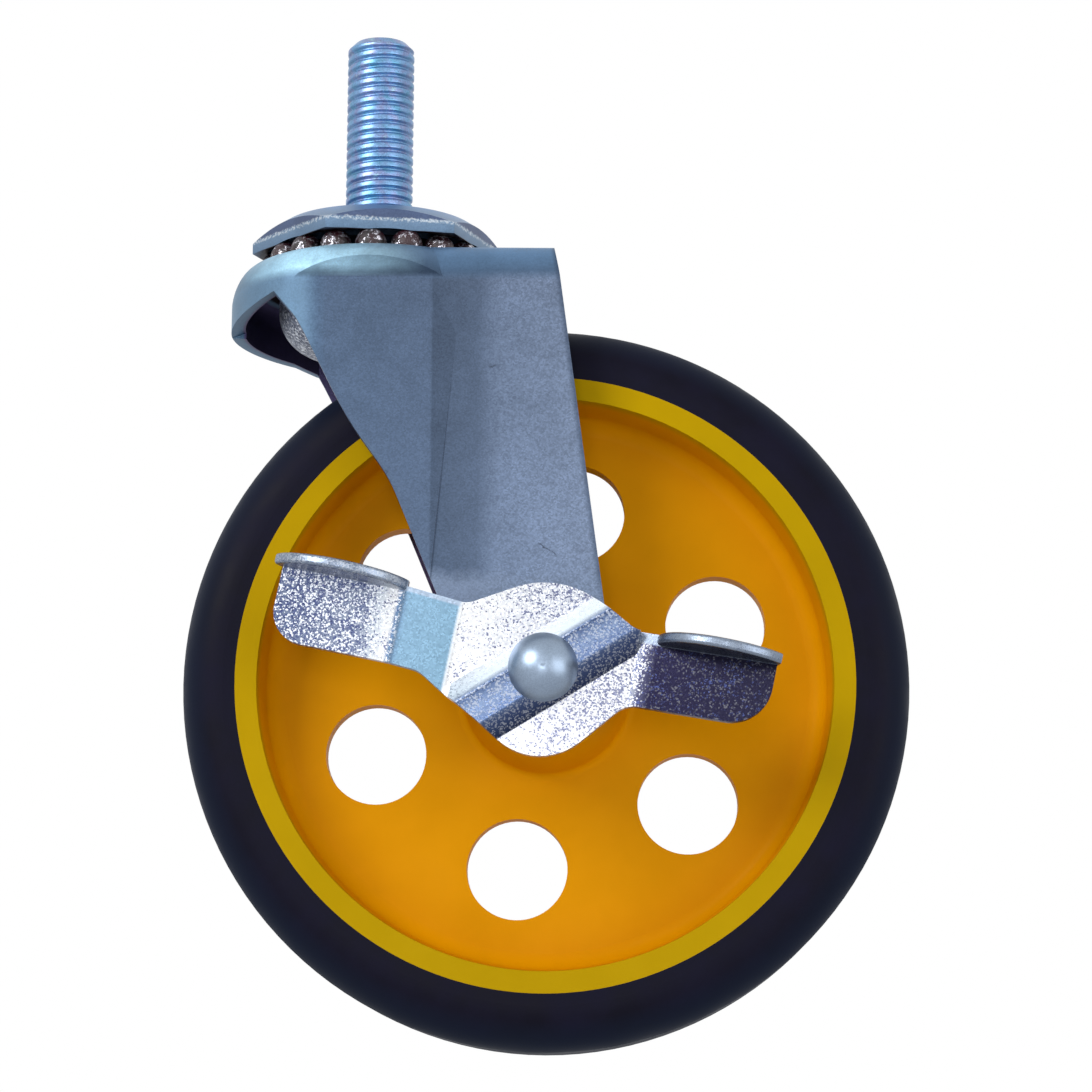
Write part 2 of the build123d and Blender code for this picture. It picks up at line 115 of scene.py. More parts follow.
# brake lever, in its own frame: along it towards the rear, and up across it
LEVER_TILT = radians(11.5)
LEVER_ALONG = Vector((cos(LEVER_TILT), 0, -sin(LEVER_TILT)))
LEVER_ACROSS = Vector((sin(LEVER_TILT), 0, cos(LEVER_TILT)))
RIB_ANGLE = radians(43)
RIB_ACROSS = LEVER_ACROSS * cos(RIB_ANGLE) - LEVER_ALONG * sin(RIB_ANGLE)
RIB_HALF = 6.0 * MM
RIB_CROWN = 2.6 * MM
TAB_FRONT_END = -46.0 * MM
TAB_FRONT_MIDDLE = -31.0 * MM
TAB_FRONT_OUTER = -25.0 * MM         # the two folds of the front tab's joggle
TAB_FRONT_INNER = -15.6 * MM
TAB_REAR_FOLD = 14.6 * MM
TAB_REAR_END = 40.0 * MM
LIP_FOOT = 7.6 * MM

# ---------------------------------------------------------------- view and light
# the camera looks along the axle and a little upwards, from just under the tread's level
CAMERA_PLACE = Vector((41.7, -553.7, -160.9)) * MM
CAMERA_TARGET = Vector((30.3, 0, -57.3)) * MM
CAMERA_ROLL = radians(0.28)
CAMERA_LENS = 105.5          # millimetres, as is the sensor's width
CAMERA_SENSOR = 36
CAMERA_CLIP = 0.01           # metres

FLOOR_HEIGHT = -0.30
FLOOR_HALF = 3.0
FLOOR_GLOW = 0.6             # how much of the floor's own pale colour shows, over its shade
ROOM_LIGHT = 0.36
LAMP_TARGET = AXLE + Vector((0, 0, 0.04))
# name, place, size and power in watts
LAMPS = (("key", (-0.55, -0.65, 0.35), 0.45, 5.5),
         ("fill", (0.7, -0.6, -0.05), 0.6, 2.6),
         ("front", (0.0, -0.75, -0.10), 0.16, 0.8))


# ---------------------------------------------------------------- node trees
class Tree:
    """A node tree under construction: adds nodes and joins them up in one call each."""

    def __init__(self, tree):
        self.tree = tree

    def put(self, socket, value):
        if isinstance(value, bpy.types.NodeSocket):
            self.tree.links.new(value, socket)
        else:
            socket.default_value = value

    def node(self, kind, values, out=0, **settings):
        made = self.tree.nodes.new(kind)
        for key, setting in settings.items():
            setattr(made, key, setting)
        for key, value in values.items():
            self.put(made.inputs[key], value)
        return made.outputs[out]

    def maths(self, operation, first, second=0.0):
        return self.node("ShaderNodeMath", {0: first, 1: second}, operation=operation)

    def span(self, value, low, high, to_low=0.0, to_high=1.0, kind="LINEAR"):
        """Map low..high to to_low..to_high, clamped."""
        values = {"Value": value, "From Min": low, "From Max": high,
                  "To Min": to_low, "To Max": to_high}
        return self.node("ShaderNodeMapRange", values, interpolation_type=kind)

    def product(self, *factors):
        result = factors[0]
        for factor in factors[1:]:
            result = self.maths("MULTIPLY", result, factor)
        return result


class Shader(Tree):
    """A material under construction, on the piece's own coordinates."""

    def __init__(self, name):
        self.material = bpy.data.materials.new(name)
        self.material.use_nodes = True
        super().__init__(self.material.node_tree)
        self.tree.nodes.clear()
        out = self.tree.nodes.new("ShaderNodeOutputMaterial")
        self.surface = self.tree.nodes.new("ShaderNodeBsdfPrincipled")
        self.tree.links.new(self.surface.outputs[0], out.inputs["Surface"])
        self.place = self.tree.nodes.new("ShaderNodeTexCoord").outputs["Object"]

    def set(self, **values):
        """Set the surface shader's sockets by name, with _ for a space."""
        sockets = {socket.name.lower().replace(" ", "_"): socket for socket in self.surface.inputs}
        for name, value in values.items():
            self.put(sockets[name], value)

    def noise(self, size, detail=3.0, roughness=0.55, distortion=0.0):
        """Noise from 0 to 1, with features of about the given size in metres."""
        values = {"Vector": self.place, "Scale": 1.0 / size, "Detail": detail,
                  "Roughness": roughness, "Distortion": distortion}
        return self.node("ShaderNodeTexNoise", values)

    def crystals(self, size):
        """A level from 0 to 1 for each small grain."""
        cell = self.node("ShaderNodeTexVoronoi", {"Vector": self.place, "Scale": 1.0 / size},
                         out="Color")
        return self.node("ShaderNodeSeparateColor", {0: cell})

    def axis(self, letter):
        return self.node("ShaderNodeSeparateXYZ", {0: self.place}, out=letter)

    def along(self, direction, origin=Vector()):
        """Distance in metres along a direction, from an origin."""
        reach = self.node("ShaderNodeVectorMath", {0: self.place, 1: direction}, out="Value",
                          operation="DOT_PRODUCT")
        return self.maths("SUBTRACT", reach, origin.dot(direction))

    def radius(self, centre, axes):
        """Distance from an axis through centre, in the plane of the two axes given."""
        first, second = (self.along(axis, centre) for axis in axes)
        return self.maths("SQRT", self.maths("ADD", self.product(first, first),
                                             self.product(second, second)))

    def unsigned(self, value):
        return self.maths("ABSOLUTE", value)

    def either(self, first, second):
        return self.maths("MAXIMUM", first, second)

    def without(self, value):
        return self.maths("SUBTRACT", 1.0, value)

    def above(self, value, edge, soft):
        """1 where a value is above an edge and 0 below it, blurred by soft on either side."""
        return self.span(self.maths("SUBTRACT", value, edge), -soft, soft)

    def below(self, value, edge, soft):
        return self.span(self.maths("SUBTRACT", value, edge), -soft, soft, 1.0, 0.0)

    def blend(self, amount, first, second, blend_type="MIX"):
        mix = self.tree.nodes.new("ShaderNodeMix")
        mix.data_type = "RGBA"
        mix.blend_type = blend_type
        # the colour sockets share their names with others, so they go by number
        for number, value in ((0, amount), (6, first), (7, second)):
            self.put(mix.inputs[number], value)
        return mix.outputs[2]

    def ramp(self, value, stops):
        """A colour that changes along a value: stops are (value, colour), in order."""
        low, high = stops[0][0], stops[-1][0]
        made = self.tree.nodes.new("ShaderNodeValToRGB")
        self.put(made.inputs[0], self.span(value, low, high))
        marks = made.color_ramp.elements
        while len(marks) < len(stops):
            marks.new(1.0)
        for mark, (place, tone) in zip(marks, stops):
            mark.position = (place - low) / (high - low)
            mark.color = tone
        return made.outputs[0]

    def shade(self, base, level):
        """Darken or lighten a colour by a level around 1."""
        return self.blend(1.0, base, level, "MULTIPLY")

    def bump(self, height, depth):
        return self.node("ShaderNodeBump", {"Height": height, "Distance": depth, "Strength": 1.0})


def grey(level):
    return (level, level, level, 1.0)


def colour(red, green, blue):
    """An sRGB colour of 0 to 255 as the linear colour that shaders take."""
    def linear(level):
        level = level / 255
        return level / 12.92 if level < 0.04045 else ((level + 0.055) / 1.055) ** 2.4
    return (linear(red), linear(green), linear(blue), 1.0)


# ---------------------------------------------------------------- zinc-plated steel
# grease round the balls, painted near black as the shade in the gap between plate and fork
GREASE_AND_SHADE = colour(30, 10, 18)
SHOULDER_HIGHLIGHT = (0.80, 1.30, 1.60, 1.0)     # a painted highlight on the head's rolled edge, brighter than any real colour
PAINTED_GLINT = (1.30, 1.34, 1.42, 1.0)      # a painted glint: a plated crystal that faces the light, brighter than any real colour
PLATED = 0.9                         # how metallic zinc plate is


def zinc(s, base, grain, contrast, rough, depth, level=0.6):
    """Finish a surface as zinc plate on steel: its colour with a fine, dull grain."""
    fine = s.noise(grain, detail=2.0, roughness=0.7)
    clouds = s.noise(20 * grain, detail=4.0, distortion=0.4)
    base = s.shade(base, s.span(fine, 0.3, 0.7, level * (1 - contrast), level * (1 + contrast)))
    base = s.shade(base, s.span(clouds, 0.3, 0.7, 0.90, 1.10))
    s.set(base_color=base, metallic=PLATED, roughness=s.span(fine, 0.3, 0.7, *rough),
          normal=s.bump(fine, depth))
    return s.material


# the fork's colour with its light and shade painted in, from its front skirt to its back
FORK_TONES = (
    (-26 * MM, colour(112, 150, 182)),
    (-13 * MM, colour(104, 138, 172)),
    (-7 * MM, colour(92, 112, 140)),
    (FLUTE_FRONT - 0.3 * MM, colour(93, 111, 138)),
    (FLUTE_FRONT, colour(82, 98, 122)),
    (FLUTE_REAR - 3 * MM, colour(92, 108, 133)),
    (FLUTE_REAR + MM, colour(118, 135, 163)),
    (42 * MM, colour(130, 146, 173)),
)


def fork_zinc():
    """Dull plate with painted light and shade: bluer at the front, darker along the flute with
    painted shade, paler and grainier behind it.
    """
    s = Shader("fork_zinc")
    x, z = s.axis("X"), s.axis("Z")
    base = s.ramp(x, FORK_TONES)
    ragged = s.maths("ADD", z, s.span(s.noise(3 * MM), 0.3, 0.7, -0.8 * MM, 0.8 * MM))
    base = s.blend(s.below(ragged, PALE_FOOT, 1.2 * MM), base, colour(122, 138, 164))
    base = s.shade(base, s.span(z, LEG_LOWER, LEG_UPPER, 1.08, 0.94))
    grainy = s.span(s.above(x, FLUTE_REAR, 2 * MM), 0.0, 1.0, 0.6, 1.0)
    speckle = s.product(s.span(s.crystals(0.26 * MM), 0.0, 1.0, -0.22, 0.22), grainy)
    base = s.shade(base, s.maths("ADD", 1.0, speckle))
    base = fork_head_tones(s, base, x, z)
    base = fork_hollow_tones(s, base, x, z)
    for mark in SCRATCHES:
        base = s.blend(scratch(s, *mark), base, colour(52, 58, 72))
    # grease and painted shade in the gap round the balls, on the head's top
    greased_and_shaded = s.product(s.above(z, GREASE_SHADE_FOOT, 0.1 * MM),
                        s.below(s.radius(Vector(), (X, Y)), GREASE_SHADE_RADIUS, 0.5 * MM))
    base = s.blend(greased_and_shaded, base, GREASE_AND_SHADE)
    return zinc(s, base, grain=0.32 * MM, contrast=0.12, rough=(0.42, 0.58), depth=0.02 * MM)


def fork_head_tones(s, base, x, z):
    """The bends at the head, in painted light and shade: shade and highlight bands over the legs, a
    highlight along the rolled edge's front, and a pale sheen under it.
    """
    rearward = s.above(x, BEND_FRONT, 5 * MM)
    # painted shade on the bend over each leg, then a painted highlight along its crest
    base = s.blend(s.product(s.above(z, BEND_FOOT, 0.9 * MM), rearward, 0.9),
                   base, colour(84, 110, 140))
    base = s.blend(s.product(s.above(z, CREST_FOOT, 1.8 * MM), rearward),
                   base, colour(124, 164, 206))
    # painted highlight along the top of the rolled edge, in patches
    highlight_patches = s.span(s.noise(7 * MM, detail=4.0, distortion=0.6), 0.30, 0.62, 0.5, 1.0)
    painted_shoulder_highlight = s.product(s.above(z, ROLL_MIDDLE, 0.9 * MM), s.below(x, HIGHLIGHT_REAR, 7 * MM),
                         s.above(x, HIGHLIGHT_FRONT, 5 * MM), highlight_patches)
    base = s.blend(painted_shoulder_highlight, base, SHOULDER_HIGHLIGHT)
    # painted sheen: the underside of the rolled edge is painted pale, as light from below would make
    # it
    roll_sheen = s.product(s.below(z, ROLL_MIDDLE, 0.8 * MM),
                         s.above(s.radius(Vector(), (X, Y)), SHEEN_INSIDE, 0.5 * MM),
                         s.below(x, SHEEN_REAR, 4 * MM), 0.5)
    return s.blend(roll_sheen, base, colour(142, 178, 208))


def fork_hollow_tones(s, base, x, z):
    """A dark line down the legs' rear edges, and painted violet shade inside the head and the legs.
    """
    lean = s.product(s.maths("SUBTRACT", z, HEAD_TOP), REAR_LEAN)
    rear = s.maths("ADD", s.maths("SUBTRACT", x, REAR_CORNER), lean)
    edge = s.product(s.above(rear, -REAR_EDGE, REAR_EDGE / 2), s.above(z, LEG_LOWER, 4 * MM), 0.6)
    base = s.blend(edge, base, colour(66, 80, 104))
    # painted shade, violet, over the inside of the head and between the legs
    under_head = s.below(s.radius(Vector(), (X, Y)), HEAD_CORE, 0.2 * MM)
    hollow_shade = s.product(s.below(z, HOLLOW_TOP, 0.2 * MM),
                       s.below(s.unsigned(s.axis("Y")), LEG_HOLLOW, 0.2 * MM),
                       s.either(under_head, s.above(x, HOLLOW_FRONT, MM)))
    return s.blend(hollow_shade, base, colour(104, 96, 140))


def scratch(s, x, z, angle, half_length):
    """A short dark mark on the brake side of the fork, with its sizes as in SCRATCHES."""
    lean = radians(angle)
    centre = Vector((x, 0, z)) * MM
    run = s.along(Vector((cos(lean), 0, sin(lean))), centre)
    aside = s.along(Vector((-sin(lean), 0, cos(lean))), centre)
    wander = s.span(s.noise(0.9 * MM), 0.3, 0.7, -0.35 * MM, 0.35 * MM)
    aside = s.unsigned(s.maths("ADD", aside, wander))
    brake_side = s.below(s.axis("Y"), 0.0, MM)
    return s.product(s.below(s.unsigned(run), half_length * MM, 0.3 * MM),
                     s.below(aside, 0.12 * MM, 0.08 * MM), brake_side, 0.75)


# the lever's colour with its light and shade painted in, along it from the front tab to the rear one:
# near white on the folds, painted shade dark violet over the rear tab
LEVER_TONES = (
    (TAB_FRONT_END, colour(124, 138, 168)),
    (TAB_FRONT_MIDDLE, colour(146, 158, 184)),
    (TAB_FRONT_OUTER - 3.5 * MM, colour(214, 224, 236)),
    (TAB_FRONT_OUTER - MM, colour(250, 252, 255)),
    (TAB_FRONT_OUTER - 0.6 * MM, colour(112, 142, 182)),
    (TAB_FRONT_OUTER + 1.2 * MM, colour(140, 178, 206)),
    (TAB_FRONT_INNER - 0.4 * MM, colour(134, 172, 198)),
    (TAB_FRONT_INNER, colour(250, 252, 255)),
    (6 * MM, colour(214, 220, 234)),
    (TAB_REAR_FOLD - MM, colour(226, 234, 244)),
    (TAB_REAR_FOLD + 1.5 * MM, colour(84, 86, 116)),
    (TAB_REAR_FOLD + 3.5 * MM, colour(34, 32, 62)),
    (TAB_REAR_END, colour(38, 36, 60)),
)
# the rib's painted light and shade, across it from painted shade on its lower flank to a painted
# highlight on its upper one
RIB_TONES = (
    (-RIB_HALF - 0.1 * MM, colour(246, 248, 252)),
    (-RIB_HALF, colour(44, 56, 90)),
    (-RIB_CROWN - MM, colour(84, 104, 150)),
    (-RIB_CROWN, colour(116, 140, 186)),
    (0.0, colour(140, 162, 200)),
    (RIB_CROWN, colour(84, 106, 146)),
    (RIB_CROWN + MM, colour(226, 238, 248)),
    (RIB_HALF, colour(236, 242, 250)),
    (RIB_HALF + 0.1 * MM, colour(206, 212, 226)),
)
# the share of dull pits among the crystals, along the lever
LEVER_PITS = (
    (TAB_FRONT_END, grey(0.80)),
    (TAB_FRONT_MIDDLE, grey(0.64)),
    (TAB_FRONT_OUTER - 3.5 * MM, grey(0.16)),
    (TAB_FRONT_OUTER, grey(0.16)),
    (TAB_FRONT_INNER, grey(0.22)),
    (0.0, grey(0.44)),
    (TAB_REAR_FOLD - MM, grey(0.86)),
    (TAB_REAR_FOLD + 3 * MM, grey(0.10)),
)
LEVER_LEVEL = 0.52           # how much of its colour the bright plate keeps beside its shine


def lever_zinc():
    """Bright plate with painted glints in its crystals; the light and shade that each fold of the
    lever takes are painted into its colour.
    """
    s = Shader("lever_zinc")
    along = s.along(LEVER_ALONG, AXLE)
    beside = s.along(RIB_ACROSS, AXLE)
    middle = s.product(s.above(along, TAB_FRONT_INNER, 0.3 * MM),
                       s.below(along, TAB_REAR_FOLD, 0.3 * MM))
    belly = s.product(middle, s.below(beside, -RIB_HALF, 0.1 * MM))
    rib = s.product(middle, s.below(s.unsigned(beside), RIB_HALF, 0.1 * MM))
    flank = s.product(middle, s.above(beside, RIB_CROWN, 0.2 * MM),
                      s.below(beside, RIB_HALF, 0.2 * MM))
    lip = s.product(s.without(middle), s.above(s.along(LEVER_ACROSS, AXLE), LIP_FOOT, 0.15 * MM))
    joggle = s.product(s.above(along, TAB_FRONT_OUTER, 0.4 * MM),
                       s.below(along, TAB_FRONT_INNER, 0.4 * MM))
    base = s.ramp(along, LEVER_TONES)
    # painted highlight: the plate below the rib is near white
    base = s.blend(belly, base, colour(248, 249, 253))
    # painted shade and highlight across the rib
    base = s.blend(rib, base, s.ramp(beside, RIB_TONES))
    base = s.blend(s.product(lip, 0.85), base, colour(184, 200, 222))
    burnished = s.either(s.product(rib, 0.65), s.product(lip, 0.7))
    crystalline = s.without(s.either(s.either(joggle, flank), burnished))
    grains = s.crystals(0.24 * MM)
    base = lever_crystals(s, base, along, grains, crystalline)
    # the rib's upper flank keeps its whole painted highlight; the rest of the plate is dimmed to
    # LEVER_LEVEL
    # the number sockets of this node share their names, so they go by number
    base = s.shade(base, s.node("ShaderNodeMix", {0: flank, 2: LEVER_LEVEL, 3: 1.0}))
    s.set(base_color=base, metallic=PLATED, roughness=s.span(grains, 0.0, 1.0, 0.24, 0.46),
          normal=s.bump(s.noise(0.4 * MM, detail=2.0), 0.02 * MM))
    return s.material


def lever_crystals(s, base, along, grains, crystalline):
    """Dull pits and painted glints in the crystals, with few of either on the rear tab, where its
    shade is painted dark.
    """
    patches = s.span(s.noise(5 * MM, distortion=0.5), 0.3, 0.7, -0.25, 0.25)
    pitted = s.product(s.maths("ADD", s.ramp(along, LEVER_PITS), patches), 0.5)
    pits = s.product(s.below(s.maths("SUBTRACT", grains, pitted), 0.0, 0.08), crystalline, 0.8)
    base = s.blend(pits, base, colour(74, 86, 140))
    shaded_rear_tab = s.above(along, TAB_REAR_FOLD + 2 * MM, MM)
    # painted glints on the brightest crystals
    glints = s.product(s.above(grains, s.span(shaded_rear_tab, 0.0, 1.0, 0.72, 0.90), 0.05), crystalline,
                       s.span(shaded_rear_tab, 0.0, 1.0, 0.9, 0.1))
    return s.blend(glints, base, PAINTED_GLINT)


# the plate's colour with painted light and shade, from its underside to its top: palest and bluest on
# the top face
PLATE_TONES = (
    (PLATE_UNDER, colour(110, 138, 168)),
    (-3.6 * MM, colour(122, 150, 180)),
    (-2.6 * MM, colour(112, 142, 176)),
    (0.0, colour(122, 158, 202)),
)


def plate_zinc():
    """Turned plate: a rough line left by the press round the flats, and grease beneath, darkened with
    painted shade of the gap.
    """
    s = Shader("plate_zinc")
    z = s.axis("Z")
    base = s.ramp(z, PLATE_TONES)
    normal = s.node("ShaderNodeNewGeometry", {}, out="Normal")
    upright = s.below(s.unsigned(s.node("ShaderNodeSeparateXYZ", {0: normal}, out="Z")), 0.2, 0.05)
    flats = s.product(upright, s.above(z, FLATS_FOOT, 0.15 * MM), 0.75)
    base = s.blend(flats, base, colour(84, 92, 126))
    ragged = s.maths("ADD", z, s.span(s.noise(0.9 * MM), 0.3, 0.7, -0.2 * MM, 0.2 * MM))
    burr = s.product(s.above(ragged, BURR_FOOT, 0.15 * MM), s.below(ragged, BURR_TOP, 0.15 * MM),
                     s.above(s.noise(0.4 * MM), 0.5, 0.08), 0.8)
    base = s.blend(burr, base, colour(222, 232, 240))
    # grease and painted shade on the plate's underside round the balls
    greased_and_shaded = s.product(s.below(z, PLATE_UNDER + 0.1 * MM, 0.05 * MM),
                        s.below(s.radius(Vector(), (X, Y)), GREASE_SHADE_RADIUS + MM, 0.8 * MM))
    base = s.blend(greased_and_shaded, base, GREASE_AND_SHADE)
    return zinc(s, base, grain=0.3 * MM, contrast=0.12, rough=(0.3, 0.46), depth=0.012 * MM,
                level=0.75)


def stem_zinc():
    """Plate over rolled thread, with violet and green tints where its film is thicker."""
    s = Shader("stem_zinc")
    film = s.noise(2.2 * MM, detail=4.0, distortion=0.5)
    base = s.ramp(film, [(0.30, colour(118, 182, 222)), (0.5, colour(148, 190, 240)),
                         (0.62, colour(158, 172, 222)), (0.72, colour(176, 214, 240))])
    return zinc(s, base, grain=0.3 * MM, contrast=0.22, rough=(0.26, 0.44), depth=0.015 * MM,
                level=0.62)


def rough_zinc():
    """Plate over a forged skin, with pale specks painted in where it would catch the light."""
    s = Shader("rough_zinc")
    specks = s.crystals(0.4 * MM)
    base = s.ramp(specks, [(0.0, colour(84, 90, 108)), (0.6, colour(146, 154, 170)),
                           (1.0, colour(236, 240, 246))])
    return zinc(s, base, grain=0.5 * MM, contrast=0.3, rough=(0.4, 0.6), depth=0.12 * MM,
                level=1.0)


def axle_zinc():
    s = Shader("axle_zinc")
    return zinc(s, colour(164, 182, 204), grain=0.25 * MM, contrast=0.12, rough=(0.3, 0.42),
                depth=0.012 * MM, level=0.72)


# ---------------------------------------------------------------- greasy balls, plastics, rubber
def greasy_steel():
    """Ball steel, mostly hidden by grease that has rubbed off in places."""
    s = Shader("greasy_steel")
    grease = s.noise(0.8 * MM, detail=4.0, roughness=0.7)
    bare = s.span(grease, 0.54, 0.60)
    dark = s.blend(s.span(s.noise(3 * MM), 0.4, 0.6), colour(14, 5, 9), colour(46, 15, 25))
    s.set(base_color=s.blend(bare, dark, colour(220, 218, 228)),
          metallic=s.product(bare, 0.95), roughness=s.span(bare, 0.0, 1.0, 0.30, 0.2),
          normal=s.bump(grease, 0.25 * MM))
    return s.material


def yellow_plastic():
    """Moulded plastic: bright yellow on the rim's faces, painted deeper orange down in the web as its
    shade and the plastic's own reflections.
    """
    s = Shader("yellow_plastic")
    # painted shade: the web, deep between the rim's faces, is painted deeper orange than the rim
    depth = s.span(s.unsigned(s.axis("Y")), WEB_HALF, RIM_FACE)
    rim = s.product(s.above(s.radius(AXLE, (X, Z)), RIM_INSIDE, 2 * MM),
                    s.span(depth, 0.72, 0.98))
    cloud = s.noise(14 * MM)
    base = s.blend(rim, colour(210, 141, 0), colour(176, 141, 1))
    base = s.shade(base, s.span(cloud, 0.35, 0.7, 1.03, 0.95))
    s.set(base_color=base, roughness=s.span(cloud, 0.3, 0.7, 0.38, 0.5), specular_ior_level=0.03,
          normal=s.bump(s.noise(0.5 * MM, detail=2.0), 0.012 * MM))
    return s.material


def black_rubber():
    """Moulded rubber, with a painted highlight, a little bluer and paler, round its tread."""
    s = Shader("black_rubber")
    cloud = s.noise(9 * MM, detail=4.0)
    tread_highlight = s.span(s.radius(AXLE, (X, Z)), WHEEL_RADIUS - TREAD_HIGHLIGHT_BAND, WHEEL_RADIUS)
    base = s.blend(s.span(cloud, 0.35, 0.7), colour(13, 12, 25), colour(18, 17, 34))
    base = s.blend(tread_highlight, base, colour(16, 26, 44))
    s.set(base_color=base, roughness=s.span(cloud, 0.3, 0.7, 0.45, 0.6), specular_ior_level=0.07,
          normal=s.bump(s.noise(0.35 * MM, detail=2.0), 0.01 * MM))
    return s.material


def plain_plastic(name, base, shade):
    s = Shader(name)
    s.set(base_color=s.blend(s.noise(3 * MM), base, shade), roughness=0.5, specular_ior_level=0.3)
    return s.material


def make_finishes():
    return {
        "fork": fork_zinc(),
        "lever": lever_zinc(),
        "plate": plate_zinc(),
        "stem": stem_zinc(),
        "rough": rough_zinc(),
        "axle": axle_zinc(),
        "yellow": yellow_plastic(),
        "rubber": black_rubber(),
        "balls": greasy_steel(),
        "nylon": plain_plastic("nylon", colour(204, 202, 190), colour(182, 180, 168)),
        "nut_ring": plain_plastic("nut_ring", colour(60, 90, 150), colour(48, 74, 130)),
    }


NODE_FINISH = {
    "threaded_stem": "stem", "hex_top_plate": "plate", "upper_balls": "balls", "fork": "fork",
    "lower_balls": "balls", "lower_race": "rough", "wheel_centre": "yellow", "tyre": "rubber",
    "axle_sleeve": "axle", "bearing_rollers": "balls", "roller_cage": "nylon",
    "friction_washer_near": "axle", "friction_washer_far": "axle", "axle_bolt": "axle",
    "axle_washer": "axle", "axle_lock_nut": "axle", "lock_nut_insert": "nut_ring",
    "brake_lever": "lever", "brake_cam_plate": "axle",
}


def dress_nodes(finishes):
    for node, finish in NODE_FINISH.items():
        mesh = frame["nodes"][node].data
        mesh.materials.clear()
        mesh.materials.append(finishes[finish])


# ---------------------------------------------------------------- the stem's thread
def new_object(name, data):
    """A new object in the scene, at the origin."""
    made = bpy.data.objects.new(name, data)
    bpy.context.scene.collection.objects.link(made)
    return made


def thread_tree(finish):
    """A grid rolled into a rod whose surface rises and falls along a helix."""
    group = bpy.data.node_groups.new("thread", "GeometryNodeTree")
    for name, value in (("Crest Radius", STEM_RADIUS), ("Root Radius", THREAD_ROOT),
                        ("Pitch", THREAD_PITCH), ("Length", STEM_LENGTH), ("Chamfer", STEM_CHAMFER)):
        socket = group.interface.new_socket(name, in_out="INPUT", socket_type="NodeSocketFloat")
        socket.default_value = value
    group.interface.new_socket("Geometry", in_out="OUTPUT", socket_type="NodeSocketGeometry")
    t = Tree(group)
    given = group.nodes.new("NodeGroupInput").outputs
    grid = t.node("GeometryNodeMeshGrid", {"Size X": 1.0, "Size Y": 1.0,
                                           "Vertices X": THREAD_SIDES + 1, "Vertices Y": THREAD_ROWS})
    split = group.nodes.new("ShaderNodeSeparateXYZ")
    t.put(split.inputs[0], t.node("GeometryNodeInputPosition", {}))
    turn = t.product(split.outputs["X"], tau)
    share = t.maths("ADD", split.outputs["Y"], 0.5)
    # the first and the last row close the ends, so the length lies between the rows next to them
    row = 1.0 / (THREAD_ROWS - 1)
    height = t.product(t.span(share, row, 1 - row), given["Length"])
    radius = thread_radius(t, given, height, turn)
    inside = t.maths("MULTIPLY", t.maths("GREATER_THAN", share, row / 2),
                     t.maths("LESS_THAN", share, 1 - row / 2))
    radius = t.product(radius, inside)
    spot = t.node("ShaderNodeCombineXYZ", {"X": t.product(radius, t.maths("COSINE", turn)),
                                           "Y": t.product(radius, t.maths("SINE", turn)),
                                           "Z": height})
    rod = t.node("GeometryNodeSetPosition", {"Geometry": grid, "Position": spot})
    rod = t.node("GeometryNodeMergeByDistance", {"Geometry": rod, "Distance": 1e-7})
    rod = t.node("GeometryNodeRealizeInstances", {"Geometry": rod})
    rod = t.node("GeometryNodeSetMaterial", {"Geometry": rod, "Material": finish})
    out = group.nodes.new("NodeGroupOutput")
    t.put(out.inputs[0], rod)
    return group


def thread_radius(t, given, height, turn):
    """The rod's radius at a height and a turn: a right-handed ridge, cut by the end's chamfer."""
    turns_before = 20.0      # any whole number that keeps the phase above 0
    phase = t.maths("SUBTRACT", t.maths("DIVIDE", height, given["Pitch"]),
                    t.maths("DIVIDE", turn, tau))
    part = t.maths("FRACT", t.maths("ADD", phase, turns_before))
    wave = t.maths("ABSOLUTE", t.maths("SUBTRACT", part, 0.5))
    ridge = t.span(wave, THREAD_CREST, THREAD_FOOT, 1.0, 0.0, "SMOOTHSTEP")
    depth = t.maths("SUBTRACT", given["Crest Radius"], given["Root Radius"])
    radius = t.maths("ADD", given["Root Radius"], t.product(ridge, depth))
    left = t.maths("SUBTRACT", given["Length"], height)
    chamfered = t.maths("ADD", t.maths("SUBTRACT", given["Crest Radius"], given["Chamfer"]), left)
    return t.maths("MINIMUM", radius, chamfered)


def grown_mesh(name, group):
    """Run a geometry tree on an empty object and keep the result as a plain mesh."""
    seed = new_object(name, bpy.data.meshes.new(name))
    grow = seed.modifiers.new("grow", "NODES")
    grow.node_group = group
    for item in group.interface.items_tree:
        if item.in_out == "INPUT":
            grow[item.identifier] = item.default_value
    bpy.context.view_layer.update()
    shape = bpy.data.meshes.new_from_object(seed.evaluated_get(bpy.context.evaluated_depsgraph_get()))
    seed.modifiers.remove(grow)
    bpy.data.objects.remove(seed)
    return shape


def make_stem(finish):
    """The stem with its thread: the plain shank below the plate is the frame's own."""
    thread = grown_mesh("thread", thread_tree(finish))
    joined = bmesh.new()
    joined.from_mesh(frame["nodes"]["threaded_stem"].data)
    over = [v for v in joined.verts if v.co.z > NEAR]
    bmesh.ops.delete(joined, geom=over, context="VERTS")
    joined.from_mesh(thread)
    mesh = bpy.data.meshes.new("threaded_stem_look")
    joined.to_mesh(mesh)
    joined.free()
    mesh.materials.append(finish)
    mesh.shade_smooth()
    mesh.set_sharp_from_angle(angle=THREAD_EDGE)
    stem = new_object("threaded_stem_look", mesh)
    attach(stem, "stem")
    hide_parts("threaded_stem")


# ---------------------------------------------------------------- the fork's lip and flute
def smooth_step(value, low, high):
    share = min(max((value - low) / (high - low), 0.0), 1.0)
    return share * share * (3 - 2 * share)


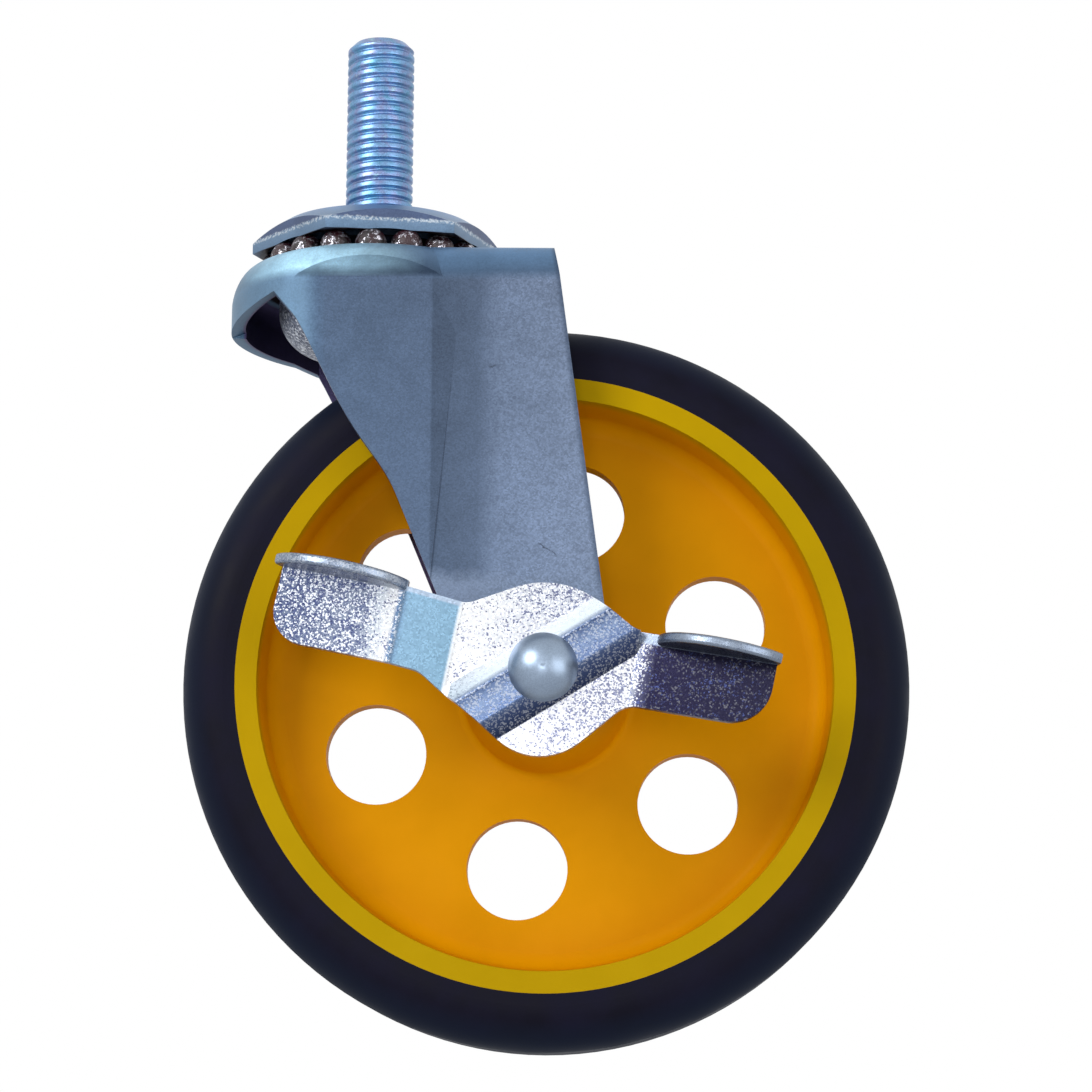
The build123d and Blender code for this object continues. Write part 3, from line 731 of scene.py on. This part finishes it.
def pressed_place(spot):
    """Where the press leaves a point of the plain fork: the lip stands up round the balls, the
    top rear corners are drawn in, and the flute runs out gently at its top."""
    x, y, z = spot
    reach = (x * x + y * y) ** 0.5
    if reach > GROOVE_EDGE and z > HEAD_TOP - SHOULDER:
        lift = smooth_step(z, HEAD_TOP - SHOULDER, HEAD_TOP)
        inward = max(0.0, 1 - (reach - GROOVE_EDGE) / (HEAD_RADIUS - GROOVE_EDGE))
        spread = 1 + LIP_SPREAD * inward / reach * lift
        pinch = CORNER_PINCH * lift * smooth_step(x, REAR_CORNER - CORNER_RUN, REAR_CORNER)
        return x * spread - pinch, y * spread, z + LIP_RISE * lift
    at_flute_top = abs(z - FLUTE_TOP) < NEAR
    if at_flute_top and abs(abs(y) - LEG_FACE) < NEAR:
        return x, y, FLUTE_FADE
    if at_flute_top and abs(x - FLUTE_FRONT) < NEAR:
        return x + FLUTE_SLOPE, y, z
    return x, y, z


def make_fork_look(finish):
    """The fork from its frame node, with its triangles joined up and its pressed forms eased."""
    digits = 7               # corners that agree to a tenth of a micrometre are one
    plain = frame["nodes"]["fork"].data
    spots, faces = {}, []
    for face in plain.polygons:
        corners = [tuple(round(c, digits) for c in plain.vertices[i].co) for i in face.vertices]
        faces.append([spots.setdefault(corner, len(spots)) for corner in corners])
    mesh = bpy.data.meshes.new("fork_pressed")
    mesh.from_pydata([pressed_place(spot) for spot in spots], [], faces)
    mesh.materials.append(finish)
    mesh.shade_smooth()
    mesh.normals_split_custom_set(kept_normals(plain, mesh))
    fork = new_object("fork_pressed", mesh)
    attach(fork, "fork")
    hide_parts("fork")


def kept_normals(plain, mesh):
    """The plain fork's normals, or a face's own where the press has turned it from them."""
    least = 0.8              # cosine of the angle between the two
    normals = []
    for face, old in zip(mesh.polygons, plain.polygons):
        for corner in old.loop_indices:
            kept = plain.corner_normals[corner].vector
            normals.append(tuple(kept if kept.dot(face.normal) > least else face.normal))
    return normals


# ---------------------------------------------------------------- stage
def seen_directly(t):
    """1 for rays that come from the camera, also by way of metal or glass, and 0 for the rest."""
    path = t.tree.nodes.new("ShaderNodeLightPath").outputs
    seen = path["Is Camera Ray"]
    for ray in ("Is Glossy Ray", "Is Transmission Ray"):
        seen = t.maths("MAXIMUM", seen, path[ray])
    return seen


def make_floor():
    """A pale floor, well under the castor, which hangs from its stem."""
    mesh = bpy.data.meshes.new("floor")
    signs = ((-1, -1), (1, -1), (1, 1), (-1, 1))
    corners = [(x * FLOOR_HALF, y * FLOOR_HALF, FLOOR_HEIGHT) for x, y in signs]
    mesh.from_pydata(corners, [], [(0, 1, 2, 3)])
    material = bpy.data.materials.new("pale_floor")
    material.use_nodes = True
    t = Tree(material.node_tree)
    t.tree.nodes.clear()
    matt = t.node("ShaderNodeBsdfDiffuse", {"Color": (0.86, 0.86, 0.86, 1)})
    pale = t.node("ShaderNodeEmission", {"Color": (0.9, 0.9, 0.92, 1), "Strength": 1.0})
    glow = t.product(seen_directly(t), FLOOR_GLOW)
    mixed = t.node("ShaderNodeMixShader", {0: glow, 1: matt, 2: pale})
    t.put(t.tree.nodes.new("ShaderNodeOutputMaterial").inputs["Surface"], mixed)
    mesh.materials.append(material)
    new_object("floor", mesh)


def make_world():
    """White behind the castor and in reflections, and a dimmer blue room for the rest."""
    world = bpy.data.worlds.new("studio")
    bpy.context.scene.world = world
    world.use_nodes = True
    t = Tree(world.node_tree)
    t.tree.nodes.clear()
    room = t.node("ShaderNodeBackground", {"Color": (0.86, 0.90, 1.0, 1), "Strength": ROOM_LIGHT})
    white = t.node("ShaderNodeBackground", {"Color": (1, 1, 1, 1), "Strength": 1.0})
    mixed = t.node("ShaderNodeMixShader", {0: seen_directly(t), 1: room, 2: white})
    t.put(t.tree.nodes.new("ShaderNodeOutputWorld").inputs["Surface"], mixed)


def make_lamp(name, place, size, power):
    light = bpy.data.lights.new(name, "AREA")
    light.shape = "SQUARE"
    light.size = size
    light.energy = power
    lamp = new_object(name, light)
    lamp.location = place
    lamp.rotation_euler = (LAMP_TARGET - Vector(place)).to_track_quat("-Z", "Y").to_euler()


def make_camera():
    data = bpy.data.cameras.new("camera")
    data.lens = CAMERA_LENS
    data.sensor_width = CAMERA_SENSOR
    data.sensor_fit = "HORIZONTAL"
    data.clip_start = CAMERA_CLIP
    camera = new_object("camera", data)
    aim = (CAMERA_TARGET - CAMERA_PLACE).to_track_quat("-Z", "Y").to_matrix().to_4x4()
    roll = Matrix.Rotation(CAMERA_ROLL, 4, "Z")
    camera.matrix_world = Matrix.Translation(CAMERA_PLACE) @ aim @ roll
    bpy.context.scene.camera = camera


def make_studio():
    make_floor()
    make_world()
    for lamp in LAMPS:
        make_lamp(*lamp)
    bpy.context.scene.view_settings.view_transform = "Standard"
    make_camera()


finishes = make_finishes()
dress_nodes(finishes)
make_stem(finishes["stem"])
make_fork_look(finishes["fork"])
make_studio()
